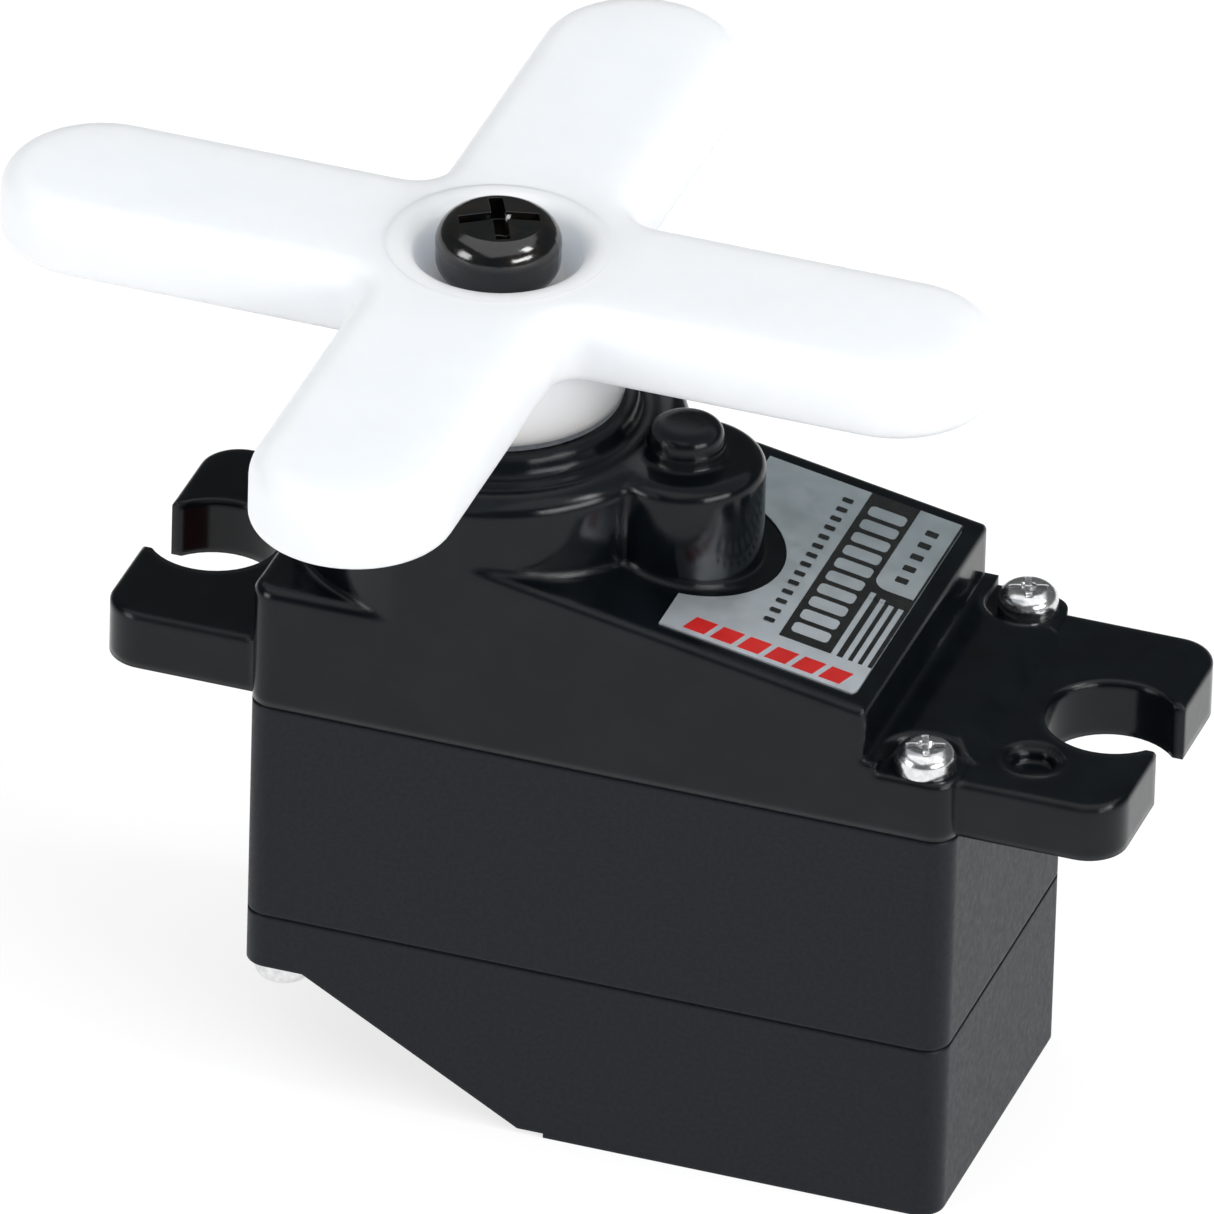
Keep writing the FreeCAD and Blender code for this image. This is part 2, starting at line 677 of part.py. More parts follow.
def stands_on_deck(edge, x, y, r):
    """Whether an edge runs along the deck at radius r round the upright axis at (x, y)."""
    points = [v.Point for v in edge.Vertexes]
    on_deck = all(abs(p.z - deck_z(p.x)) < NEAR for p in points)
    return on_deck and all(abs(math.hypot(p.x - x, p.y - y) - r) < NEAR for p in points)


def round_feet(cover):
    """Round the inner corner where the two towers stand on the deck."""
    feet = [
        e for e in cover.Edges
        if stands_on_deck(e, OUT_X, 0, TOWER_R) or stands_on_deck(e, IDLE_X, IDLE_Y, SMALL_TOWER_R)
    ]
    return cover.makeFillet(TOWER_FOOT_R, feet)


def rounded_mouth(x, y, z, r, edge_r):
    """The space that rounds the edge of a round hole of radius r in a level face at z."""
    middle = FreeCAD.Vector(x, y, z - edge_r)
    space = cyl(x, y, z - edge_r, z + PAST, r + edge_r)
    return space.cut(Part.makeTorus(r + edge_r, edge_r, middle, FreeCAD.Vector(0, 0, 1)))


def screw_pockets():
    """The two pockets in the bar's corners, open to the case's long sides and its end."""
    cuts = []
    for side in (-1, 1):
        y = side * TOP_SCREW_Y
        inner = side * (TOP_SCREW_Y - POCKET_SIDE)
        outer = side * (CASE_HALF_WIDTH + PAST)
        cuts.append(cyl(TOP_SCREW_X, y, POCKET_Z, BAR_Z + PAST, POCKET_R))
        cuts.append(rounded_mouth(TOP_SCREW_X, y, BAR_Z, POCKET_R, POCKET_EDGE_R))
        cuts.append(box(TOP_SCREW_X - POCKET_R, FAR, min(y, outer), max(y, outer), POCKET_Z, BAR_Z + PAST))
        cuts.append(box(TOP_SCREW_X, FAR, min(inner, outer), max(inner, outer), POCKET_Z, BAR_Z + PAST))
    return cuts


def bar():
    """The low bar across the motor end, which slopes down to the tab between the screw pockets."""
    profile = [(OUT_X, 0), (BAR_FOOT_X, 0), (BAR_FOOT_X, TAB_T), (BAR_CREST_X, BAR_Z), (OUT_X, BAR_Z)]
    solid = profile_along_y(profile, CASE_HALF_WIDTH)
    crest = [e for e in solid.Edges if e.BoundBox.XMin > BAR_CREST_X - NEAR and is_level(e, BAR_Z)]
    solid = solid.makeFillet(BAR_CREST_R, crest)
    between = TOP_SCREW_Y - POCKET_SIDE
    outline = case_block(0, BAR_Z).fuse(box(0, FAR, -between, between, 0, BAR_Z))
    solid = solid.common(outline).cut(screw_pockets())
    return solid.cut(box(CASE_HALF_LENGTH, FAR, -FAR, FAR, -PAST, TAB_T - TAB_EDGE_R))


def tab(side):
    """One mounting tab with its open-ended slot. side is 1 at the motor end, -1 at the output end."""
    inner = CASE_HALF_LENGTH - TAB_ROOT
    plate = box(inner, TAB_HALF_LENGTH, -TAB_HALF_WIDTH, TAB_HALF_WIDTH, 0, TAB_T)
    outer = [e for e in plate.Edges if is_upright(e) and e.BoundBox.XMin > TAB_HALF_LENGTH - NEAR]
    plate = fillet_level(plate.makeFillet(TAB_CORNER_R, outer), TAB_T, TAB_EDGE_R)
    mouth = box(SLOT_X, FAR, -SLOT_MOUTH / 2, SLOT_MOUTH / 2, -PAST, TAB_T + PAST)
    plate = plate.cut([cyl(SLOT_X, 0, -PAST, TAB_T + PAST, SLOT_R), mouth])
    if side < 0:
        plate.rotate(FreeCAD.Vector(0, 0, 0), FreeCAD.Vector(0, 0, 1), 180)
    return plate


def tip_r(module, teeth):
    return module * (teeth / 2 + ADDENDUM)


def train_cavity():
    """The rooms for the gears, with the bearing's seat above them."""
    output_r = tip_r(TRAIN_MODULE, OUTPUT_TEETH) + TOOTH_CLEARANCE
    third_r = tip_r(TRAIN_MODULE, THIRD_TEETH) + TOOTH_CLEARANCE
    pinion_r = tip_r(TRAIN_MODULE, THIRD_PINION_TEETH) + TOOTH_CLEARANCE
    motor_r = tip_r(INPUT_MODULE, MOTOR_TEETH) + MOTOR_ROOM
    return [
        cyl(OUT_X, 0, -PAST, TRAIN_ROOF_Z, output_r),
        cyl(IDLE_X, IDLE_Y, -PAST, THIRD_Z[1] + AXIAL_CLEARANCE, third_r),
        cyl(IDLE_X, IDLE_Y, -PAST, TRAIN_ROOF_Z + END_GAP, pinion_r),
        cyl(MOTOR_X, 0, -PAST, MOTOR_SHAFT_Z[1] + AXIAL_CLEARANCE, motor_r),
        cyl(OUT_X, 0, TRAIN_ROOF_Z - PAST, COLLAR_Z + PAST, BEARING_THROAT_R),
        cyl(OUT_X, 0, BEARING_Z[0], COLLAR_Z + PAST, BEARING_R),
        cyl(IDLE_X, IDLE_Y, TRAIN_ROOF_Z - PAST, AXLE_TOP_Z, AXLE_R),
    ]


def dimple():
    """The small blind mark on the motor-end tab."""
    return [cyl(DIMPLE_X, DIMPLE_Y, TAB_T - depth, TAB_T + PAST, r) for r, depth in (DIMPLE_RIM, DIMPLE_WELL)]


def top_cover():
    cover = round_feet(fuse_all([shelf(), deck(), bar(), tab(1), tab(-1)] + towers()))
    cover = cover.cut(train_cavity())
    cover = cover.cut(dimple())
    holes = []
    for side in (-1, 1):
        holes.append(cyl(TOP_SCREW_X, side * TOP_SCREW_Y, -PAST, POCKET_Z + PAST, SCREW_CLEAR_R))
        holes.append(cyl(BASE_SCREW_X, side * BASE_SCREW_Y, -PAST, BASE_SCREW_TIP_Z + TIP_GAP, SCREW_R))
    return cover.cut(holes)


# ---- middle case and bottom cover ----
def corner_bosses(z0, z1, outline):
    """Screw bosses in the four corners, trimmed to the case's outline."""
    bosses = []
    for side in (-1, 1):
        bosses.append(cyl(TOP_SCREW_X, side * TOP_SCREW_Y, z0, z1, BOSS_R))
        bosses.append(cyl(BASE_SCREW_X, side * BASE_SCREW_Y, z0, z1, BOSS_R))
    return fuse_all(bosses).common(outline)


def parting_groove(z0, z1):
    return case_block(z0, z1, -PAST).cut(case_block(z0 - PAST, z1 + PAST, GROOVE))


def middle_case():
    outside = case_block(LOWER_PARTING_Z, 0)
    shell = outside.cut(case_block(LOWER_PARTING_Z - PAST, -PLATE_T, WALL))
    shell = shell.fuse(corner_bosses(LOWER_PARTING_Z, 0, outside))
    shell = shell.fuse(cyl(IDLE_X, IDLE_Y, -PLATE_T, AXLE_BOSS_Z, AXLE_BOSS_R))
    cuts = [parting_groove(-GROOVE, PAST)]
    cuts.append(cyl(OUT_X, 0, -PLATE_T - PAST, PAST, BUSH_R))
    cuts.append(cyl(IDLE_X, IDLE_Y, -WALL, PAST, AXLE_R))
    cuts.append(cyl(MOTOR_X, 0, -PLATE_T - PAST, PAST, CAN_NOSE_R))
    for side in (-1, 1):
        for x, y in ((TOP_SCREW_X, TOP_SCREW_Y), (BASE_SCREW_X, BASE_SCREW_Y)):
            cuts.append(cyl(x, side * y, LOWER_PARTING_Z - PAST, PAST, SCREW_CLEAR_R))
    return shell.cut(cuts)


def base_wedge_outside():
    """The space under the raised output end of the base, with the small lip at its foot."""
    foot_z = BASE_Z + BASE_STEP
    points = [
        (-FAR, -FAR),
        (BASE_LIP_X, -FAR),
        (BASE_LIP_X, foot_z),
        (BASE_SLOPE_X1, foot_z),
        (BASE_SLOPE_X0, BASE_LEFT_Z),
        (-FAR, BASE_LEFT_Z),
    ]
    return profile_along_y(points, FAR)


def base_wedge_inside():
    """The same space grown by the wall's thickness, where the inside of the base ends."""
    slope = (BASE_LEFT_Z - BASE_Z - BASE_STEP) / (BASE_SLOPE_X1 - BASE_SLOPE_X0)
    shift = WALL * (math.sqrt(1 + slope ** 2) - 1) / slope
    points = [
        (-FAR, -FAR),
        (BASE_SLOPE_X1 + shift, -FAR),
        (BASE_SLOPE_X1 + shift, BASE_Z + BASE_STEP + WALL),
        (BASE_SLOPE_X0 + shift, BASE_LEFT_Z + WALL),
        (-FAR, BASE_LEFT_Z + WALL),
    ]
    return profile_along_y(points, FAR)


def bottom_cover():
    outside = case_block(BASE_Z, LOWER_PARTING_Z).cut(base_wedge_outside())
    inside = case_block(BASE_Z + WALL, LOWER_PARTING_Z + PAST, WALL).cut(base_wedge_inside())
    shell = outside.cut(inside).fuse(corner_bosses(BASE_Z, LOWER_PARTING_Z, outside))
    cuts = [parting_groove(LOWER_PARTING_Z - GROOVE, LOWER_PARTING_Z + PAST)]
    cuts.append(box(-FAR, -CASE_HALF_LENGTH + INLET_DEPTH, -INLET_HALF_WIDTH, INLET_HALF_WIDTH,
                    INLET_Z, LOWER_PARTING_Z + PAST))
    above = LOWER_PARTING_Z + PAST
    for side in (-1, 1):
        cuts.append(cyl(TOP_SCREW_X, side * TOP_SCREW_Y, TOP_SCREW_TIP_Z - TIP_GAP, above, SCREW_R))
        cuts.append(cyl(BASE_SCREW_X, side * BASE_SCREW_Y, BASE_Z - PAST, above, SCREW_CLEAR_R))
    return shell.cut(cuts)


def domed_screw(x, y, z_seat, z_tip):
    """A long case screw with a domed cross head. It points up when z_tip is over z_seat."""
    top_z = z_seat + SCREW_HEAD_H
    head = fillet_level(cyl(x, y, z_seat, top_z, SCREW_HEAD_R), top_z, SCREW_HEAD_EDGE_R)
    head = head.cut(cross_recess(x, y, top_z, SCREW_RECESS, SCREW_RECESS_TURN))
    if z_tip > z_seat:
        head.rotate(FreeCAD.Vector(x, y, z_seat), FreeCAD.Vector(1, 0, 0), 180)
    return head.fuse(cyl(x, y, min(z_seat, z_tip), max(z_seat, z_tip), SCREW_R))


def top_screws():
    return Part.makeCompound([
        domed_screw(TOP_SCREW_X, side * TOP_SCREW_Y, POCKET_Z, TOP_SCREW_TIP_Z) for side in (-1, 1)
    ])


def base_screws():
    return Part.makeCompound([
        domed_screw(BASE_SCREW_X, side * BASE_SCREW_Y, BASE_LEFT_Z, BASE_SCREW_TIP_Z) for side in (-1, 1)
    ])


# ---- labels ----
def deck_label():
    """A thin label on the sloping deck, cut round on the side of the small tower."""
    x0, x1 = DECK_LABEL_X
    outline = box(x0, x1, -DECK_LABEL_HALF_WIDTH, DECK_LABEL_HALF_WIDTH, 0, FAR)
    outline = outline.cut(cyl(IDLE_X, DECK_CUT_Y, -PAST, FAR + PAST, DECK_CUT_R))
    corners = [e for e in outline.Edges if is_upright(e) and e.BoundBox.XMin > x1 - NEAR]
    outline = outline.makeFillet(DECK_LABEL_CORNER_R, corners)
    profile = [(0, deck_z(0)), (FAR, deck_z(FAR)), (FAR, deck_z(FAR) + LABEL_T), (0, deck_z(0) + LABEL_T)]
    return outline.common(profile_along_y(profile, CASE_HALF_WIDTH))


def end_label():
    """A thin label on the output end wall."""
    return box(-CASE_HALF_LENGTH - LABEL_T, -CASE_HALF_LENGTH, -END_LABEL_HALF_WIDTH, END_LABEL_HALF_WIDTH,
               END_LABEL_Z[0], END_LABEL_Z[1])


# ---- motor ----
def motor_can():
    can = fillet_level(cyl(MOTOR_X, 0, CAN_Z[0], CAN_Z[1], CAN_R), CAN_Z[1], CAN_EDGE_R)
    can = can.cut(cyl(MOTOR_X, 0, CAN_Z[0] - PAST, CAN_Z[1] - CAN_WALL, CAN_R - CAN_WALL))
    can = can.fuse(cyl(MOTOR_X, 0, CAN_Z[1] - CAN_WALL, CAN_NOSE_Z, CAN_NOSE_R))
    return can.cut(cyl(MOTOR_X, 0, CAN_Z[1] - PAST, PAST, FRONT_BUSH_R))


def motor_front_bush():
    return ring(MOTOR_X, 0, CAN_Z[1] - CAN_WALL, CAN_NOSE_Z, MOTOR_SHAFT_R + RUNNING_GAP, FRONT_BUSH_R)


def motor_sector(middle, half_angle):
    """A wedge of the motor's inside, round its axis. The angles are in degrees."""
    points = [(MOTOR_X, 0)]
    for angle in (middle - half_angle, middle, middle + half_angle):
        points.append(polar(MOTOR_X, 0, FAR, math.radians(angle)))
    return prism(points, CAN_Z[0], CAN_Z[1])


def on_motor_axis(shape, angle):
    """Turn a shape by angle degrees about the origin, then carry it to the motor's axis."""
    shape.rotate(FreeCAD.Vector(0, 0, 0), FreeCAD.Vector(0, 0, 1), angle)
    shape.translate(FreeCAD.Vector(MOTOR_X, 0, 0))
    return shape


def motor_magnets():
    shell = ring(MOTOR_X, 0, MAGNET_Z[0], MAGNET_Z[1], MAGNET_R[0], MAGNET_R[1])
    magnets = []
    for side in (0, 180):
        magnets.append(shell.common(motor_sector(side, MAGNET_HALF_ANGLE)))
    return Part.makeCompound(magnets)


def motor_end_cap():
    inner_r = CAN_R - END_CAP_WALL
    cap = cyl(MOTOR_X, 0, END_CAP_Z, CAN_Z[0], CAN_R - END_CAP_INSET)
    cap = cap.fuse(cyl(MOTOR_X, 0, CAN_Z[0], CAN_Z[0] + END_CAP_LIP, CAN_R - CAN_WALL))
    cap = cap.cut(cyl(MOTOR_X, 0, END_CAP_FLOOR_Z, CAN_Z[0] + PAST, inner_r))
    cap = cap.fuse(cyl(MOTOR_X, 0, END_CAP_Z - END_BOSS_H, END_CAP_FLOOR_Z, END_BOSS_R))
    return cap.cut(cyl(MOTOR_X, 0, END_CAP_Z, CAN_Z[0] + PAST, REAR_BUSH_R))


def motor_rear_bush():
    return ring(MOTOR_X, 0, END_CAP_Z, END_CAP_FLOOR_Z, MOTOR_SHAFT_R + RUNNING_GAP, REAR_BUSH_R)


def motor_brushes():
    """Two leaf brushes, one on either side of the commutator, each with a foot in the end cap."""
    brushes = []
    for side in (-1, 1):
        x0 = MOTOR_X + side * (COMMUTATOR_R + BRUSH_GAP + BRUSH_T / 2) - BRUSH_T / 2
        leaf = box(x0, x0 + BRUSH_T, -BRUSH_HALF_LENGTH, BRUSH_HALF_LENGTH, BRUSH_Z[0], BRUSH_Z[1])
        foot = box(x0, x0 + BRUSH_T, BRUSH_FOOT_Y[0], BRUSH_FOOT_Y[1], END_CAP_FLOOR_Z, BRUSH_Z[1])
        brushes.append(leaf.fuse(foot))
    return Part.makeCompound(brushes)


def motor_terminals():
    """Two solder tags under the end cap."""
    tags = []
    for side in (-1, 1):
        y = side * TAG_Y
        tags.append(box(MOTOR_X + TAG_X[0], MOTOR_X + TAG_X[1], y - TAG_HALF_WIDTH, y + TAG_HALF_WIDTH,
                        END_CAP_Z - TAG_T, END_CAP_Z))
    return Part.makeCompound(tags)


def motor_shaft():
    return cyl(MOTOR_X, 0, MOTOR_SHAFT_Z[0], MOTOR_SHAFT_Z[1], MOTOR_SHAFT_R)


def rotor_core():
    """The laminated three-pole armature."""
    z0, z1 = ROTOR_Z
    parts = [cyl(MOTOR_X, 0, z0, z1, CORE_R)]
    shoes = ring(MOTOR_X, 0, z0, z1, SHOE_R, ROTOR_R)
    middle_r = (SHOE_R + ROTOR_R) / 2
    for angle in around(POLE_COUNT):
        turn = math.degrees(angle)
        parts.append(on_motor_axis(box(0, middle_r, -SPOKE_HALF_WIDTH, SPOKE_HALF_WIDTH, z0, z1), turn))
        parts.append(shoes.common(motor_sector(turn, SHOE_HALF_ANGLE)))
    return fuse_all(parts).cut(cyl(MOTOR_X, 0, z0 - PAST, z1 + PAST, MOTOR_SHAFT_R))


def rotor_windings():
    """One coil round each pole of the armature, clear of its shoes."""
    z0, z1 = ROTOR_Z
    hole_half = SPOKE_HALF_WIDTH + COIL_GAP
    coils = []
    for angle in around(POLE_COUNT):
        coil = box(COIL_R[0], COIL_R[1], -COIL_HALF_WIDTH, COIL_HALF_WIDTH, z0 - COIL_END, z1 + COIL_END)
        along = [e for e in coil.Edges if e.BoundBox.XLength > NEAR]
        coil = coil.makeFillet(COIL_CORNER_R, along)
        coil = coil.cut(box(0, FAR, -hole_half, hole_half, z0, z1))
        coils.append(on_motor_axis(coil, math.degrees(angle)))
    return Part.makeCompound(coils)


def commutator():
    barrel = ring(MOTOR_X, 0, COMMUTATOR_Z[0], COMMUTATOR_Z[1], MOTOR_SHAFT_R, COMMUTATOR_R)
    half = COMMUTATOR_SLOT / 2
    slots = []
    for angle in around(POLE_COUNT, math.pi / (2 * POLE_COUNT)):
        slot = box(COMMUTATOR_SLOT_R, COMMUTATOR_R + PAST, -half, half,
                   COMMUTATOR_Z[0] - PAST, COMMUTATOR_Z[1] + PAST)
        slots.append(on_motor_axis(slot, math.degrees(angle)))
    return barrel.cut(slots)


# ---- potentiometer ----
def pot_case():
    cup = cyl(OUT_X, 0, POT_Z[0], POT_Z[1] - POT_COVER_T, POT_R)
    return cup.cut(cyl(OUT_X, 0, POT_Z[0] + POT_WALL, POT_Z[1], POT_R - POT_WALL))


def pot_cover():
    return ring(OUT_X, 0, POT_Z[1] - POT_COVER_T, POT_Z[1], POT_COVER_BORE_R, POT_R)


def pot_track():
    floor_z = POT_Z[0] + POT_WALL
    track = ring(OUT_X, 0, floor_z, floor_z + TRACK_T, TRACK_R[0], TRACK_R[1])
    gap = box(OUT_X - TRACK_GAP_HALF, OUT_X + TRACK_GAP_HALF, -POT_R, 0, floor_z - PAST, floor_z + PAST)
    return track.cut(gap)


def pot_rotor():
    """The moulded rotor, whose shaft plugs into the output shaft."""
    shaft = cyl(OUT_X, 0, POT_SHAFT_Z, POT_SHAFT_TOP_Z, POT_SHAFT_R)
    return shaft.fuse(cyl(OUT_X, 0, POT_DISC_Z[0], POT_DISC_Z[1], POT_DISC_R))


def pot_wiper():
    """The spring contact under the rotor, just over the track."""
    plate = box(OUT_X - WIPER_HALF_WIDTH, OUT_X + WIPER_HALF_WIDTH, WIPER_Y[0], WIPER_Y[1],
                POT_DISC_Z[0] - WIPER_T, POT_DISC_Z[0])
    finger = box(OUT_X - FINGER_HALF_WIDTH, OUT_X + FINGER_HALF_WIDTH, FINGER_Y[0], FINGER_Y[1],
                 FINGER_Z, POT_DISC_Z[0])
    return plate.fuse(finger)


def pin_boxes(z0, z1):
    return [box(x - PIN_HALF_WIDTH, x + PIN_HALF_WIDTH, PIN_Y[0], PIN_Y[1], z0, z1)
            for x in (OUT_X - PIN_PITCH, OUT_X, OUT_X + PIN_PITCH)]


def pot_pins():
    return Part.makeCompound(pin_boxes(BOARD_Z[0], POT_Z[0]))


# ---- electronics ----
def circuit_board():
    board = box(BOARD_X[0], BOARD_X[1], -BOARD_HALF_WIDTH, BOARD_HALF_WIDTH, BOARD_Z[0], BOARD_Z[1])
    return board.cut(pin_boxes(BOARD_Z[0] - PAST, BOARD_Z[1] + PAST))


def chip(x, y, size):
    """A chip body that hangs under the board."""
    length, width, height = size
    return box(x - length / 2, x + length / 2, y - width / 2, y + width / 2, BOARD_Z[0] - height, BOARD_Z[0])


def control_chip():
    return chip(CONTROL_CHIP_X, 0, CONTROL_CHIP)


def driver_chips():
    return Part.makeCompound([chip(DRIVER_CHIP_X, side * DRIVER_CHIP_Y, DRIVER_CHIP) for side in (-1, 1)])


def small_components():
    """Chip resistors and capacitors in rows."""
    return Part.makeCompound([chip(x, y, SMALL_CHIP) for x in SMALL_CHIP_X for y in SMALL_CHIP_Y])


def motor_leads():
    """Two short insulated leads from the board's edge down to the motor's solder tags."""
    leads = []
    low_z = END_CAP_Z - TAG_T - LEAD_R
    inset = LEAD_BEND * (1 - math.sqrt(0.5))
    for side in (-1, 1):
        y = side * TAG_Y
        upper = FreeCAD.Vector(LEAD_X, y, BOARD_Z[0])
        turn_start = FreeCAD.Vector(LEAD_X, y, low_z + LEAD_BEND)
        turn_middle = FreeCAD.Vector(LEAD_X + inset, y, low_z + inset)
        turn_end = FreeCAD.Vector(LEAD_X + LEAD_BEND, y, low_z)
        lower = FreeCAD.Vector(MOTOR_X + LEAD_END_X, y, low_z)
        path = Part.Wire([
            Part.LineSegment(upper, turn_start).toShape(),
            Part.Arc(turn_start, turn_middle, turn_end).toShape(),
            Part.LineSegment(turn_end, lower).toShape(),
        ])
        section = Part.Wire(Part.makeCircle(LEAD_R, upper, FreeCAD.Vector(0, 0, -1)))
        leads.append(path.makePipeShell([section], True, True))
    return Part.makeCompound(leads)


NODES = {
    "top_cover": top_cover,
    "middle_case": middle_case,
    "bottom_cover": bottom_cover,
    "top_screws": top_screws,
    "base_screws": base_screws,
    "deck_label": deck_label,
    "end_label": end_label,
    "bearing_outer_race": bearing_outer_race,
    "bearing_inner_race": bearing_inner_race,
    "bearing_balls": bearing_balls,
    "bearing_cage": bearing_cage,
    "lower_bush": lower_bush,
    "idle_axle": idle_axle,
    "idle_spacer": idle_spacer,
    "horn": horn,
    "horn_screw": horn_screw,
    "output_shaft": output_shaft,
    "output_gear": output_gear,
    "third_wheel": third_wheel,
    "third_pinion": third_pinion,
    "second_wheel": second_wheel,
    "second_pinion": second_pinion,
    "first_wheel": first_wheel,
    "first_pinion": first_pinion,
    "motor_pinion": motor_pinion,
    "motor_shaft": motor_shaft,
    "rotor_core": rotor_core,
    "rotor_windings": rotor_windings,
    "commutator": commutator,
    "motor_can": motor_can,
    "motor_front_bush": motor_front_bush,
    "motor_rear_bush": motor_rear_bush,
    "motor_magnets": motor_magnets,
    "motor_end_cap": motor_end_cap,
    "motor_brushes": motor_brushes,
    "motor_terminals": motor_terminals,
    "motor_leads": motor_leads,
    "pot_case": pot_case,
    "pot_cover": pot_cover,
    "pot_track": pot_track,
    "pot_rotor": pot_rotor,
    "pot_wiper": pot_wiper,
    "pot_pins": pot_pins,
    "circuit_board": circuit_board,
    "control_chip": control_chip,
    "driver_chips": driver_chips,
    "small_components": small_components,
}

os.makedirs("parts", exist_ok=True)
for name, make in NODES.items():
    shape = make()
    shape.exportStep("parts/" + name + ".step")
    print(name, len(shape.Solids), "solids", round(shape.Volume, 2), "mm3", shape.isValid())
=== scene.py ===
import json
import math

import bmesh
import bpy
from mathutils import Matrix, Vector


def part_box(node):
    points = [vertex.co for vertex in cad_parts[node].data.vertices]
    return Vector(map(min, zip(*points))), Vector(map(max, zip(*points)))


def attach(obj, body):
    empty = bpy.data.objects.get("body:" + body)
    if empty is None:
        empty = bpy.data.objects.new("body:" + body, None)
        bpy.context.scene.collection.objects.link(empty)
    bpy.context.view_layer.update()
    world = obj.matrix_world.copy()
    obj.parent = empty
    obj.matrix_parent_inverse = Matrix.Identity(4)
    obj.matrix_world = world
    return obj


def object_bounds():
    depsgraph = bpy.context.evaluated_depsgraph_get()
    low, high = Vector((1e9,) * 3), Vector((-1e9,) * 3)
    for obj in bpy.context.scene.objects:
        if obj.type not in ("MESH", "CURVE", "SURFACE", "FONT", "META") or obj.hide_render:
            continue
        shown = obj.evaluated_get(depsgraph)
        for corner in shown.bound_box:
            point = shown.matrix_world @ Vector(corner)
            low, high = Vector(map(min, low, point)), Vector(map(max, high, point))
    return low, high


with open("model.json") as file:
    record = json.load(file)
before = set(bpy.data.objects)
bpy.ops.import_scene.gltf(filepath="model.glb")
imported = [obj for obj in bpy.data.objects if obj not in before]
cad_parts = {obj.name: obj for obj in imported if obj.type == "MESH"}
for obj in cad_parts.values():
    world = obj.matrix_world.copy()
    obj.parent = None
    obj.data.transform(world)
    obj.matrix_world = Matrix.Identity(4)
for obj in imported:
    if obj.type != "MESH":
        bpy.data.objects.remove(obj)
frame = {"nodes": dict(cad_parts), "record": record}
cad_low, cad_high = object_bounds()
nodes = frame["nodes"]

MM = 0.001
RING_DISTORTION = 0.6       # how far turning marks wander
BAND_DISTORTION = 0.3       # how far the turns of a winding wander
WAVE_DETAIL = 2.0
BEVEL_SAMPLES = 8


